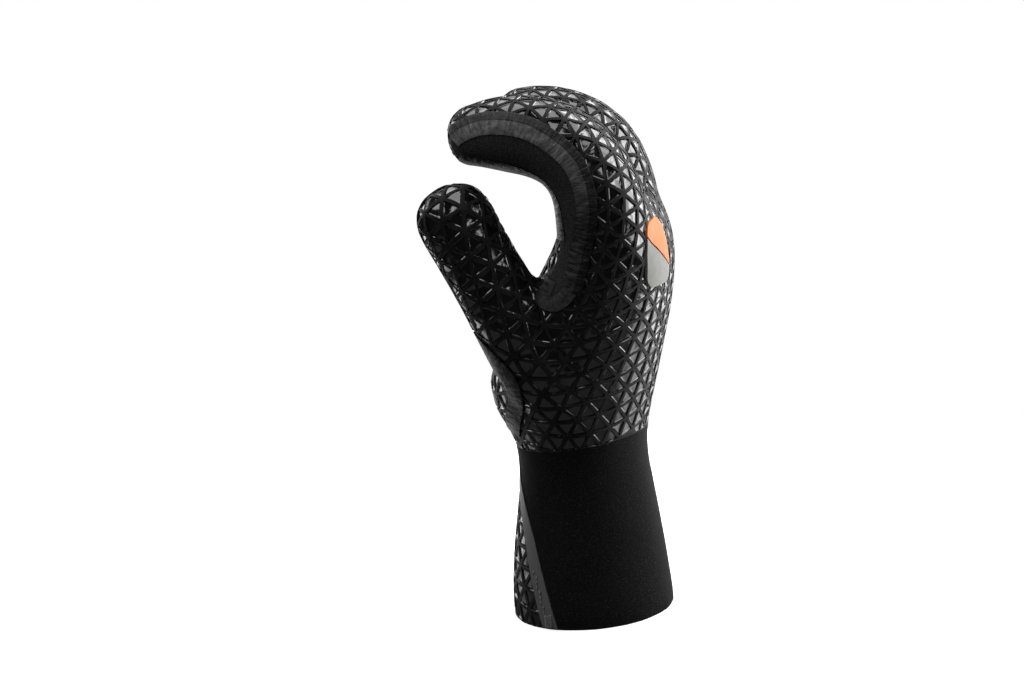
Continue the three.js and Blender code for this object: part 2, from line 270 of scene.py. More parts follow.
def prism(name, outline, axis, start, end):
    # a flat face of the outline, extruded along Y or X
    bpy.ops.mesh.primitive_circle_add(vertices=len(outline), fill_type="NGON", radius=draftRadius)
    obj = active()
    obj.name = name
    for vertex, point in zip(obj.data.vertices, outline):
        vertex.co = (point[0], start, point[1]) if axis == "Y" else (start, point[0], point[1])
    editAll(obj)
    way = (0, end - start, 0) if axis == "Y" else (end - start, 0, 0)
    bpy.ops.mesh.extrude_region_move(TRANSFORM_OT_translate={"value": way})
    faceOut(obj)
    return obj


def boolean(obj, operation, cutter):
    for tool in (obj, cutter):
        if not tool.data.materials:
            tool.data.materials.append(bpy.data.materials["cut"])
    applyModifier(obj, "BOOLEAN", operation=operation, object=cutter, solver="MANIFOLD")
    return obj


def keepLargest(obj):
    editAll(obj)
    bpy.ops.mesh.separate(type="LOOSE")
    objectMode()
    parts = sorted(bpy.context.selected_objects, key=lambda part: len(part.data.polygons))
    if parts[-1] != obj:
        obj.data = parts[-1].data
    remove(*(part for part in parts if part != obj))
    editAll(obj)
    bpy.ops.mesh.remove_doubles(threshold=seams["weld"])
    objectMode()


def belowCuffSeam(grow):
    bpy.ops.mesh.primitive_cube_add(size=2 * seams["far"])
    cutter = active()
    cutter.name = "cuff cutter"
    editAll(cutter)
    bpy.ops.transform.translate(value=(0, 0, grow - seams["far"]))
    objectMode()
    tilt = Matrix.Rotation(-seams["cuffTilt"], 4, "Y")
    cutter.data.transform(Matrix.Translation((0, 0, seams["cuffHeight"])) @ tilt)
    return cutter


def wedgeCutter(grow):
    # a cone from the middle of the wrist through the edge of the wedge
    apex = Vector((0, 0, seams["cuffHeight"] / 2))
    near = []
    for z, degrees in seamLine("wedge"):
        half = max(math.radians(degrees) + grow / seams["wedgeRadius"], seams["wedgeLeast"])
        spot = Vector((-math.cos(half), -math.sin(half), 0)) * seams["wedgeRadius"] + Vector((0, 0, z))
        near.append(apex + (spot - apex) * seams["far"] / seams["wedgeRadius"])
    rim = near + [Vector((p.x, -p.y, p.z)) for p in reversed(near)]
    size = {"radius1": draftRadius, "depth": draftRadius}
    bpy.ops.mesh.primitive_cone_add(vertices=len(rim), end_fill_type="TRIFAN", **size)
    cutter = active()
    ring = [v for v in cutter.data.vertices if math.hypot(v.co.x, v.co.y) > draftRadius / 2]
    ends = sorted((v for v in cutter.data.vertices if v not in ring), key=lambda v: v.co.z)
    for corner, point in zip(ring, rim):
        corner.co = point
    ends[0].co = (-seams["far"], 0, apex.z)
    ends[-1].co = apex
    faceOut(cutter)
    return cutter


def gussetCutter(grow):
    line = offsetLine(seamLine("gusset"), -grow, closed=True)
    return prism("gusset cutter", line, "Y", -seams["far"], seams["gussetDepth"] + grow)


def splitCutter(grow):
    line = offsetLine(seamLine("split"), grow, closed=True)
    start, end = seams["splitRange"]
    return prism("split cutter", line, "Y", start - grow, end + grow)


def palmOutline(name, grow, far):
    # from a seam out past the palm side
    line = offsetLine(seamLine(name), grow)
    return [Vector((-far, line[0].y)), *line, Vector((-far, line[-1].y))]


def palmCutter(grow):
    far = 2 * seams["far"]
    across = prism("palm cutter", palmOutline("littleFinger", grow, far), "Y", -far, far)
    thumb = [Vector((y - grow, z)) for y, z in seamLine("thumb")]
    corners = [Vector((far, thumb[0].y)), Vector((far, far)), Vector((thumb[-1].x, far))]
    sideways = prism("thumb cutter", corners + thumb[::-1], "X", -far, far)
    heel = prism("heel cutter", palmOutline("heel", grow, far), "Y", -far, seams["heelDepth"])
    boolean(across, "INTERSECT", sideways)
    boolean(across, "UNION", heel)
    remove(sideways, heel)
    return across


def closeShell():
    # outer and inner skins joined at the hem into one wall
    shell = only(outer, inner)
    bpy.ops.object.join()
    selectFaces(shell, [False] * len(shell.data.polygons))
    bpy.ops.mesh.select_mode(type="EDGE")
    bpy.ops.mesh.select_non_manifold(extend=False)
    bpy.ops.mesh.bridge_edge_loops()
    objectMode()
    bridge = [p.select for p in shell.data.polygons]
    for polygon, new in zip(shell.data.polygons, bridge):
        if new:
            polygon.material_index = cutSlot
    shell.name = "shell"
    return shell


def cutPanels(shell):
    gap = seams["gap"]
    panels = {}

    def part(name, source, operation, cutter):
        panels[name] = boolean(duplicate(source, name), operation, cutter)

    below, belowGap = belowCuffSeam(0), belowCuffSeam(gap)
    wedge, wedgeGap = wedgeCutter(0), wedgeCutter(gap)
    gusset, gussetGap = gussetCutter(0), gussetCutter(gap)
    split, splitGap = splitCutter(0), splitCutter(gap)
    palm, palmGap = palmCutter(0), palmCutter(gap)
    sleeve = boolean(duplicate(shell, "sleeve"), "INTERSECT", below)
    hand = boolean(duplicate(shell, "hand"), "DIFFERENCE", belowGap)
    part("cuffWedge", sleeve, "INTERSECT", wedge)
    part("cuffSleeve", sleeve, "DIFFERENCE", wedgeGap)
    part("sideGusset", hand, "INTERSECT", gusset)
    boolean(hand, "DIFFERENCE", gussetGap)
    part("splitGusset", hand, "INTERSECT", split)
    boolean(hand, "DIFFERENCE", splitGap)
    part("palmPanel", hand, "INTERSECT", palm)
    part("backPanel", hand, "DIFFERENCE", palmGap)
    for panel in panels.values():
        keepLargest(panel)
    remove(below, belowGap, wedge, wedgeGap, gusset, gussetGap, split, splitGap, palm, palmGap)
    remove(sleeve, hand)
    return panels


outerCopy = duplicate(outer, "outer skin")
shell = closeShell()
panels = cutPanels(shell)
say("panels cut")


# The rubber grip: a lattice of matte ribs with a sunk glossy pane in each triangle

lattice = {
    "spacing": 0.00866,  # between the ribs of one family
    "rib": 0.00072,  # half a rib's width
    "wall": (0.0002, 0.00042),  # across and down
    "fillet": (0.0003, 0.00012),
    "smallestPane": 0.0009,  # the radius of the largest circle in it
    "weld": 0.0006,
    "cutWeld": 0.00003,
    "deepest": 0.0009,  # a corner further than this from the skin is brought back
    "paneReach": 0.0095,  # and so is one further than this from its pane
    "longEdge": 2.5,  # a longer edge, in widths of a rib, is divided
    "ribSteps": 2,
    "relaxSteps": 900,
    "relaxPull": 0.5,
    "relaxMomentum": 0.96,
    "leastLength": 1e-9,
    "leastMove": 1e-6,
    "upright": {  # two spots on each panel, laid out one above the other
        "cuffWedge": ((-0.034, 0, 0.02), (-0.034, 0, 0.05)),
        "palmPanel": ((-0.02, 0, 0.12), (-0.02, 0, 0.15)),
        "backPanel": ((0.03, 0, 0.12), (0.03, 0, 0.15)),
    },
}
thumbTwist = {  # the lattice turns from the thumb's tip to the hand
    "tip": (-0.045, -0.05, 0.175),
    "pivot": (-0.004, -0.045, 0.135),
    "reach": (0.05, 0.1),
    "turn": math.radians(-19),
    "squeeze": 1.15,
}


def outerOnly(panel):
    # shows the outer faces alone, all selected, in edit mode
    selectFaces(panel, [p.material_index == outerSlot for p in panel.data.polygons])
    bpy.ops.mesh.hide(unselected=True)


def relax(panel, flat, scale):
    # springs between neighbours bring the flat cut back to its real lengths
    mesh = panel.data
    order = {vertex: i for i, vertex in enumerate(flat)}
    pairs = set()
    for polygon in mesh.polygons:
        if polygon.material_index == outerSlot:
            pairs.update(polygon.edge_keys)
            corners = polygon.vertices
            if len(corners) == 4:
                pairs.update(tuple(sorted((corners[k], corners[k + 2]))) for k in (0, 1))
    pairs = [pair for pair in pairs if pair[0] in order and pair[1] in order]
    a = numpy.array([order[pair[0]] for pair in pairs])
    b = numpy.array([order[pair[1]] for pair in pairs])
    rest = numpy.array([(mesh.vertices[i].co - mesh.vertices[j].co).length for i, j in pairs])
    spots = numpy.array([uv for uv in flat.values()]) * scale
    ends = numpy.concatenate((a, b))
    valence = numpy.bincount(ends, minlength=len(flat))[:, None]
    speed = numpy.zeros_like(spots)
    for step in range(lattice["relaxSteps"]):
        run = spots[b] - spots[a]
        length = numpy.maximum(numpy.hypot(run[:, 0], run[:, 1]), lattice["leastLength"])
        pull = run * ((length - rest) / length)[:, None]
        pulls = numpy.concatenate((pull, -pull))
        sums = [numpy.bincount(ends, weights=pulls[:, k], minlength=len(flat)) for k in range(2)]
        total = numpy.stack(sums, 1)
        speed = lattice["relaxMomentum"] * speed + lattice["relaxPull"] * total / valence
        spots += speed
    return {vertex: Vector(spots[i]) for vertex, i in order.items()}


def flatten(panel, low, high):
    # lays the outer faces out flat, and keeps the worn shape in an attribute
    outerOnly(panel)
    bpy.ops.uv.unwrap(method="ANGLE_BASED", margin=0)
    objectMode()
    mesh = panel.data
    uvs = mesh.uv_layers.active.data
    flat = {}
    worn = mesh.attributes.new("worn", "FLOAT_VECTOR", "POINT").data
    for vertex in mesh.vertices:
        worn[vertex.index].vector = vertex.co
    wornArea = flatArea = 0
    for polygon in mesh.polygons:
        if polygon.material_index == outerSlot:
            wornArea += polygon.area
            corners = [uvs[loop].uv.copy() for loop in polygon.loop_indices]
            flatArea += sum(a.cross(b) for a, b in zip(corners, corners[1:] + corners[:1])) / 2
            flat.update(zip(polygon.vertices, corners))
    scale = math.sqrt(wornArea / abs(flatArea))
    flat = relax(panel, flat, scale)
    first = min(flat, key=lambda i: (mesh.vertices[i].co - Vector(low)).length)
    second = min(flat, key=lambda i: (mesh.vertices[i].co - Vector(high)).length)
    run = flat[second] - flat[first]
    turn = math.radians(90) - math.atan2(run.y, run.x)
    place = Matrix.Rotation(turn, 4, "Z") @ Matrix.Translation(-flat[first].to_3d())
    for index, uv in flat.items():
        mesh.vertices[index].co = place @ uv.to_3d()
    for polygon in mesh.polygons:
        if polygon.material_index == outerSlot:
            for vertex, loop in zip(polygon.vertices, polygon.loop_indices):
                uvs[loop].uv = mesh.vertices[vertex].co.to_2d()


def familyNormal(k):
    return Vector((-math.sin(k * math.pi / 3), math.cos(k * math.pi / 3), 0))


def ribsOver(point):
    # which of the three families of ribs a flat point is on
    hits = []
    for k in range(3):
        across = point.dot(familyNormal(k)) / lattice["spacing"]
        if abs(across - round(across)) * lattice["spacing"] < lattice["rib"]:
            hits.append(k)
    return hits


def cutRibs(panel):
    outerOnly(panel)
    corners = [v.co.copy() for v in panel.data.vertices if not v.hide]
    count = 0
    for k in range(3):
        normal = familyNormal(k)
        reach = [c.dot(normal) / lattice["spacing"] for c in corners]
        for row in range(math.floor(min(reach)), math.ceil(max(reach)) + 1):
            for side in (-lattice["rib"], lattice["rib"]):
                spot = normal * (row * lattice["spacing"] + side)
                bpy.ops.mesh.select_all(action="SELECT")
                bpy.ops.mesh.bisect(plane_co=spot, plane_no=normal, threshold=lattice["cutWeld"])
                count += 1
    objectMode()
    say(f"{panel.name} {count} cuts")


def dissolveGroup(panel, wanted, keepCorners):
    mesh = panel.data
    selectFaces(panel, [wanted(p) for p in mesh.polygons])
    bpy.ops.mesh.dissolve_faces(use_verts=not keepCorners)
    objectMode()


def mergeCells(panel):
    mesh = panel.data
    on = lambda p: ribsOver(p.center)
    outerFace = lambda p: p.material_index == outerSlot
    for polygon in mesh.polygons:
        if outerFace(polygon) and not on(polygon):
            polygon.material_index = paneSlot
    dissolveGroup(panel, lambda p: p.material_index == paneSlot, True)
    for k in range(3):
        dissolveGroup(panel, lambda p: outerFace(p) and on(p) == [k], False)
    dissolveGroup(panel, lambda p: outerFace(p) and len(on(p)) > 1, False)
    say(f"{panel.name} cells")


def wear(panel):
    worn = panel.data.attributes["worn"].data
    for vertex in panel.data.vertices:
        vertex.co = worn[vertex.index].vector
    panel.data.update()


def shownVertices(mesh):
    return {v for p in mesh.polygons if p.material_index in shownSlots for v in p.vertices}


def roundRibs(panel, skin):
    # the long edges of the ribs follow the worn skin again
    mesh = panel.data
    selectFaces(panel, [p.material_index in shownSlots for p in mesh.polygons])
    bpy.ops.mesh.remove_doubles(threshold=lattice["weld"])
    objectMode()
    longest = lattice["longEdge"] * lattice["rib"] * 2
    shown = shownVertices(mesh)
    selectFaces(panel, [False] * len(mesh.polygons))
    objectMode()
    for edge in mesh.edges:
        a, b = edge.vertices
        length = (mesh.vertices[a].co - mesh.vertices[b].co).length
        edge.select = a in shown and b in shown and length > longest
    bpy.ops.object.mode_set(mode="EDIT")
    bpy.ops.mesh.select_mode(type="EDGE")
    bpy.ops.mesh.subdivide(number_cuts=lattice["ribSteps"])
    objectMode()
    dissolveGroup(panel, lambda p: p.material_index == paneSlot, True)
    group = panel.vertex_groups.new(name="outer")
    group.add(list(shownVertices(mesh)), 1, "REPLACE")
    onto = {"target": skin, "wrap_method": "NEAREST_SURFACEPOINT", "vertex_group": "outer"}
    applyModifier(panel, "SHRINKWRAP", **onto)


def paneRoom(mesh, polygon):
    # about the radius of the largest circle in the pane
    corners = [mesh.vertices[v].co for v in polygon.vertices]
    around = sum((a - b).length for a, b in zip(corners, corners[1:] + corners[:1]))
    return 2 * polygon.area / around


def sinkPanes(panel):
    mesh = panel.data
    for polygon in mesh.polygons:
        if polygon.material_index == paneSlot and paneRoom(mesh, polygon) < lattice["smallestPane"]:
            polygon.material_index = outerSlot
    selectFaces(panel, [p.material_index == paneSlot for p in mesh.polygons])
    for across, down in (lattice["wall"], lattice["fillet"]):
        bpy.ops.mesh.inset(thickness=across, depth=-down)
    objectMode()


def twist(panel, settings):
    # turns the lattice on the hand against the lattice on the thumb
    mesh = panel.data
    worn = mesh.attributes["worn"].data
    moved = lambda v: (v.co - worn[v.index].vector).length > lattice["leastMove"]
    flatNow = [v.index for v in mesh.vertices if moved(v) or v.co.z == 0]
    find = lambda spot: min(flatNow, key=lambda i: (worn[i].vector - Vector(spot)).length)
    tip = mesh.vertices[find(settings["tip"])].co.copy()
    pivot = mesh.vertices[find(settings["pivot"])].co.copy()
    near, far = settings["reach"]
    for index in flatNow:
        spot = mesh.vertices[index].co
        share = min(max(((spot - tip).length - near) / (far - near), 0), 1)
        share = share * share * (3 - 2 * share)
        turned = Matrix.Rotation(settings["turn"] * share, 3, "Z") @ (spot - pivot)
        turned.y *= 1 + (settings["squeeze"] - 1) * share
        mesh.vertices[index].co = pivot + turned


def paneGroups(mesh):
    # the corners of each sunk pane, with its walls
    leader = {}

    def find(v):
        while leader.setdefault(v, v) != v:
            v = leader[v]
        return v

    for polygon in mesh.polygons:
        if polygon.material_index == paneSlot:
            first = find(polygon.vertices[0])
            for v in polygon.vertices:
                leader[find(v)] = first
    groups = {}
    for v in leader:
        groups.setdefault(find(v), []).append(v)
    return groups.values()


def settle(panel, skin):
    # a corner that an inset threw away comes back to its pane, and one off the skin comes back to the skin
    mesh = panel.data
    tree = BVHTree.FromObject(skin, bpy.context.evaluated_depsgraph_get())
    for group in paneGroups(mesh):
        middle = Vector(numpy.median([mesh.vertices[v].co for v in group], axis=0))
        spot, normal, _, _ = tree.find_nearest(middle)
        for v in group:
            if (mesh.vertices[v].co - middle).length > lattice["paneReach"]:
                mesh.vertices[v].co = spot - normal * lattice["wall"][1]
    for index in shownVertices(mesh):
        vertex = mesh.vertices[index]
        spot, normal, _, away = tree.find_nearest(vertex.co)
        if away > lattice["deepest"]:
            vertex.co = spot - normal * lattice["wall"][1]


def dropStrays(panel):
    # removes a loose face that the weld left
    mesh = panel.data
    uses = {}
    for polygon in mesh.polygons:
        for key in polygon.edge_keys:
            uses[key] = uses.get(key, 0) + 1
    selectFaces(panel, [all(uses[key] == 1 for key in p.edge_keys) for p in mesh.polygons])
    bpy.ops.mesh.delete(type="FACE")
    objectMode()


def gripPanel(panel, low, high, twisted):
    flatten(panel, low, high)
    if twisted:
        twist(panel, twisted)
    cutRibs(panel)
    mergeCells(panel)
    wear(panel)
    roundRibs(panel, outerCopy)
    sinkPanes(panel)
    settle(panel, outerCopy)
    dropStrays(panel)
    shadeSmooth(panel, latticeAngle)
    say(f"{panel.name} {len(panel.data.polygons)} faces")


for name, (low, high) in lattice["upright"].items():
    gripPanel(panels[name], low, high, thumbTwist if name == "backPanel" else None)
for name in ("cuffSleeve", "sideGusset", "splitGusset"):
    shadeSmooth(panels[name], plainAngle)


# Tapes: thin strips cut from a skin that lies on the panels

tapeForm = {  # rows: from which point of its seam to which; deep: where its cutter ends on Y
    "under": 0.00035,  # how far the strip reaches into the panels
    "proud": 0.00045,
    "gussetTape": {"seam": "gusset", "rows": (0, 12), "half": 0.0046, "deep": -0.03},
    "webPatch": {"seam": "gusset", "rows": (12, 15), "half": 0.0032, "deep": -0.03},
    "gussetPalmTape": {"seam": "gusset", "rows": (17, 24), "half": 0.0024, "deep": -0.03},
    "heelTape": {"seam": "heel", "rows": (1, 7), "half": 0.004, "deep": -0.02},
    "thumbBand": {"half": 0.0019, "from": 0.1335, "to": 0.196, "inner": -0.001},
    "cuffTape": {"half": 0.0036, "from": 0.0006, "to": 0.0754, "block": (0.2, 0.1)},
}


def tapeStock(skin, proud, under):
    stock = duplicate(skin, "tape stock")
    applyModifier(stock, "DISPLACE", strength=proud, mid_level=0)
    applyModifier(stock, "SOLIDIFY", thickness=proud + under, offset=-1)
    return stock


def bandOutline(line, half):
    return offsetLine(line, half) + offsetLine(line, -half)[::-1]


def layAlong(piece, line, axis):
    # UV in metres: along the seam, and across it
    mesh = piece.data
    layer = mesh.uv_layers.new(name="along") if not mesh.uv_layers else mesh.uv_layers[0]
    lengths = [0]
    for a, b in zip(line, line[1:]):
        lengths.append(lengths[-1] + (b - a).length)
    spots = []
    for vertex in mesh.vertices:
        point = Vector((vertex.co.x if axis == "Y" else vertex.co.y, vertex.co.z))
        best = None
        for i, (a, b) in enumerate(zip(line, line[1:])):
            run = b - a
            share = min(max((point - a).dot(run) / run.length_squared, 0), 1)
            away = point - a - run * share
            if best is None or away.length < best[0]:
                side = math.copysign(away.length, run.cross(away))
                best = (away.length, lengths[i] + share * run.length, side)
        spots.append(best[1:])
    for loop in mesh.loops:
        layer.data[loop.index].uv = spots[loop.vertex_index]


def seamTape(name, stock):
    settings = tapeForm[name]
    first, last = (row * seams["steps"] for row in settings["rows"])
    line = seamLine(settings["seam"])[first:last + 1]
    outline = bandOutline(line, settings["half"])
    cutter = prism(name + " cutter", outline, "Y", -seams["far"], settings["deep"])
    tape = boolean(duplicate(stock, name), "INTERSECT", cutter)
    remove(cutter)
    keepLargest(tape)
    layAlong(tape, line, "Y")
    shadeSmooth(tape, plainAngle)
    return tape


def cuffTape(name, stock, side):
    settings = tapeForm["cuffTape"]
    wide, narrow = wedgeCutter(settings["half"]), wedgeCutter(-settings["half"])
    tape = boolean(duplicate(stock, name), "INTERSECT", wide)
    boolean(tape, "DIFFERENCE", narrow)
    bpy.ops.mesh.primitive_cube_add(size=1)
    block = active()
    across, deep = settings["block"]
    middle = (settings["from"] + settings["to"]) / 2
    size = Matrix.Diagonal((across, deep, settings["to"] - settings["from"], 1))
    block.data.transform(Matrix.Translation((0, side * deep / 2, middle)) @ size)
    boolean(tape, "INTERSECT", block)
    remove(wide, narrow, block)
    keepLargest(tape)
    halves = seamLine("wedge")
    mesh = tape.data
    layer = mesh.uv_layers.new(name="along")
    for loop in mesh.loops:
        spot = mesh.vertices[loop.vertex_index].co
        near = min(halves, key=lambda row: abs(row[0] - spot.z))
        angle = math.atan2(abs(spot.y), -spot.x)
        layer.data[loop.index].uv = (spot.z, (angle - math.radians(near[1])) * seams["wedgeRadius"])
    shadeSmooth(tape, plainAngle)
    return tape


def thumbBand(stock):
    # the plain edge of the rubber along the thumb's seam
    settings = tapeForm["thumbBand"]
    far = seams["far"]
    low, high = settings["from"], settings["to"]
    line = seamLine("thumb")
    cutter = prism("band cutter", bandOutline(line, settings["half"]), "X", -far, settings["inner"])
    corners = [Vector(spot) for spot in ((-far, low), (far, low), (far, high), (-far, high))]
    block = prism("band block", corners, "Y", -far, far)
    band = boolean(duplicate(stock, "thumbBand"), "INTERSECT", cutter)
    boolean(band, "INTERSECT", block)
    remove(cutter, block)
    keepLargest(band)
    layAlong(band, line, "X")
    shadeSmooth(band, plainAngle)
    return band


stock = tapeStock(outerCopy, tapeForm["proud"], tapeForm["under"])
tapes = {}
for name in ("gussetTape", "webPatch", "gussetPalmTape", "heelTape"):
    tapes[name] = seamTape(name, stock)
tapes["thumbBand"] = thumbBand(stock)
tapes["cuffTapeNear"] = cuffTape("cuffTapeNear", stock, -1)
tapes["cuffTapeFar"] = cuffTape("cuffTapeFar", stock, 1)
say("tapes")


# Stitches at the foot of the near cuff tape

stitchForm = {
    "length": 0.0017,
    "thick": 0.00042,
    "corners": (10, 6),  # round it and along it
    "lift": 0.55,  # of its thickness, above the tape
    "outside": 0.08,  # further from the axis than the cuff
    "row": {"start": 0.0075, "step": 0.0021, "count": 9, "across": -0.0006},
    "tack": {"start": 0.0014, "step": 0.0009, "count": 6, "across": -0.0012, "next": 0.0011},
    "tackTurns": (0.9, 1.9, 2.4),
    "tackSway": 0.3,
}


def stitch(tree, z, across, turn):
    # one stitch on the tape: a small ball drawn out, turned along the seam and set on the skin
    near = min(seamLine("wedge"), key=lambda row: abs(row[0] - z))
    angle = math.radians(near[1]) + across / seams["wedgeRadius"]
    aim = Vector((-math.cos(angle), -math.sin(angle), 0))
    spot, normal, _, _ = tree.ray_cast(Vector((0, 0, z)) + aim * stitchForm["outside"], -aim)
    thick = stitchForm["thick"]
    segments, rings = stitchForm["corners"]
    bpy.ops.mesh.primitive_uv_sphere_add(segments=segments, ring_count=rings, radius=1)
    made = active()
    editAll(made)
    bpy.ops.transform.resize(value=(thick, stitchForm["length"] / 2, thick))
    objectMode()
    along = Matrix.Rotation(turn, 3, normal) @ Vector((0, 0, 1))
    side = along.cross(normal).normalized()
    frameOf = Matrix((side, normal.cross(side), normal)).transposed().to_4x4()
    middle = spot + normal * (tapeForm["proud"] + thick * stitchForm["lift"])
    made.data.transform(Matrix.Translation(middle) @ frameOf)
    return made


def sewTape(skin):
    tree = BVHTree.FromObject(skin, bpy.context.evaluated_depsgraph_get())
    made = []
    line, tack = stitchForm["row"], stitchForm["tack"]
    for row in range(line["count"]):
        made.append(stitch(tree, line["start"] + row * line["step"], line["across"], 0))
    for row in range(tack["count"]):
        sway = stitchForm["tackSway"] * (row % 2)
        for k, turn in enumerate(stitchForm["tackTurns"]):
            across = tack["across"] + k * tack["next"]
            made.append(stitch(tree, tack["start"] + row * tack["step"], across, turn + sway))
    thread = only(*made)
    bpy.ops.object.join()
    thread.name = "cuffStitches"
    bpy.ops.object.shade_smooth()
    return thread


stitches = sewTape(outerCopy)
say("stitches")


# The badge: a plain rounded patch of two colours

badgeForm = {
    "y": -0.019,
    "z": 0.16,
    "wide": 0.026,
    "high": 0.028,
    "corner": 0.006,
    "cornerSteps": 6,
    "lean": math.radians(58),
    "groove": 0.0004,  # half the width between the two colours
    "proud": 0.0006,
    "under": 0.0004,
    "from": 0.02,  # on X, so that only the back of the hand is cut
}


def badgeHalf(name, stock, side):
    settings = badgeForm
    corner, steps = settings["corner"], settings["cornerSteps"]
    reachY, reachZ = settings["wide"] / 2 - corner, settings["high"] / 2 - corner
    outline = []
    for k, (sy, sz) in enumerate(((1, 1), (-1, 1), (-1, -1), (1, -1))):
        middle = Vector((settings["y"] + sy * reachY, settings["z"] + sz * reachZ))
        for step in range(steps + 1):
            angle = math.pi / 2 * (k + step / steps)
            outline.append(middle + Vector((math.cos(angle), math.sin(angle))) * corner)
    cutter = prism(name + " cutter", outline, "X", settings["from"], seams["far"])
    editAll(cutter)
    normal = Vector((0, math.cos(settings["lean"]), math.sin(settings["lean"]))) * side
    middle = Vector((0, settings["y"], settings["z"])) + normal * settings["groove"]
    bpy.ops.mesh.bisect(plane_co=middle, plane_no=normal, clear_inner=True, use_fill=True)
    faceOut(cutter)
    half = boolean(duplicate(stock, name), "INTERSECT", cutter)
    remove(cutter)
    keepLargest(half)
    shadeSmooth(half, plainAngle)
    return half


badgeStock = tapeStock(outerCopy, badgeForm["proud"], badgeForm["under"])
badges = {name: badgeHalf(name, badgeStock, side) for name, side in (("badgeUpper", 1), ("badgeLower", -1))}
remove(stock, badgeStock)
say("badge")


# Camera, light and floor

view = {
    "turn": 14,
    "rise": 10,
    "roll": -5,
    "target": (-0.0307, 0.0138, 0.1182),
    "distance": 1.08,
    "lens": 85,
}


def aimCamera(settings):
    turn, rise, roll = (math.radians(settings[key]) for key in ("turn", "rise", "roll"))
    back = Vector((math.sin(turn) * math.cos(rise), -math.cos(turn) * math.cos(rise), math.sin(rise)))
    level = Vector((math.cos(turn), math.sin(turn), 0))
    upright = back.cross(level)
    right = level * math.cos(roll) + upright * math.sin(roll)
    up = upright * math.cos(roll) - level * math.sin(roll)
    bpy.ops.object.camera_add()
    camera = active()
    turned = Matrix((right, up, back)).transposed().to_4x4()
    place = Vector(settings["target"]) + back * settings["distance"]
    camera.matrix_world = Matrix.Translation(place) @ turned
    camera.data.lens = settings["lens"]
    bpy.context.scene.camera = camera


aimCamera(view)

studio = {
    "lamps": {  # place, size, watts, aimed at
        "overhead": ((0, 1.0, 2.3), 3.8, 135, (0, 0.5, 0)),
        "behindRight": ((1.5, 1.6, 0.6), 2.9, 125, (0, 0, 0.12)),
        "behindLeft": ((-1.5, 1.7, 0.35), 1.7, 24, (0, 0, 0.12)),
        "right": ((1.4, 0.35, 0.3), 1.0, 14, (0, 0, 0.14)),
        "frontLeft": ((-1.2, -0.9, 1.3), 1.1, 15, (0, 0, 0.14)),
        "frontRight": ((1.2, -1.0, 1.3), 0.7, 7, (0, 0, 0.14)),
    },
    "roomLight": 0.04,
    "roomSeen": 1.0,
    "floor": (0.7, 0.714),  # grey, and the grey of its clouds
    "floorClouds": 3,
    "floorGlow": 0.45,  # added where the camera sees the floor
    "floorGiven": (0.08, 0.9),  # what it reflects onto the mitt, in front and behind, like a black card
    "floorTurn": (-0.03, 0.08),  # from one to the other, on Y
    "floorRadius": 0.36,
    "floorCorners": 128,
}


def softLight(name, place, size, watts, aim):
    bpy.ops.object.light_add(type="AREA", location=place)
    lamp = active()
    lamp.name = name
    lamp.data.size = size
    lamp.data.energy = watts
    lamp.visible_camera = False
    lamp.rotation_euler = (Vector(place) - Vector(aim)).to_track_quat("Z", "Y").to_euler()


def paintRoom(settings):
    # the room that is seen is paler than the light it gives, as in a studio with a lit backdrop
    world = bpy.data.worlds.new("studio")
    world.use_nodes = True
    tree = world.node_tree
    seen = tree.nodes["Background"]
    seen.inputs["Color"].default_value = (1, 1, 1, 1)
    seen.inputs["Strength"].default_value = settings["roomSeen"]
    given = tree.nodes.new("ShaderNodeBackground")
    given.inputs["Strength"].default_value = settings["roomLight"]
    mix = tree.nodes.new("ShaderNodeMixShader")
    rays = tree.nodes.new("ShaderNodeLightPath")
    tree.links.new(rays.outputs["Is Camera Ray"], mix.inputs[0])
    tree.links.new(given.outputs[0], mix.inputs[1])
    tree.links.new(seen.outputs[0], mix.inputs[2])
    tree.links.new(mix.outputs[0], tree.nodes["World Output"].inputs["Surface"])
    bpy.context.scene.world = world


for name, (place, size, watts, aim) in studio["lamps"].items():
    softLight(name, place, size, watts, aim)
paintRoom(studio)
bpy.context.scene.view_settings.view_transform = "Standard"
bpy.ops.object.select_all(action="DESELECT")
rim = {"vertices": studio["floorCorners"], "radius": studio["floorRadius"]}
bpy.ops.mesh.primitive_circle_add(fill_type="NGON", **rim)
floor = active()
floor.name = "floor"


# Materials

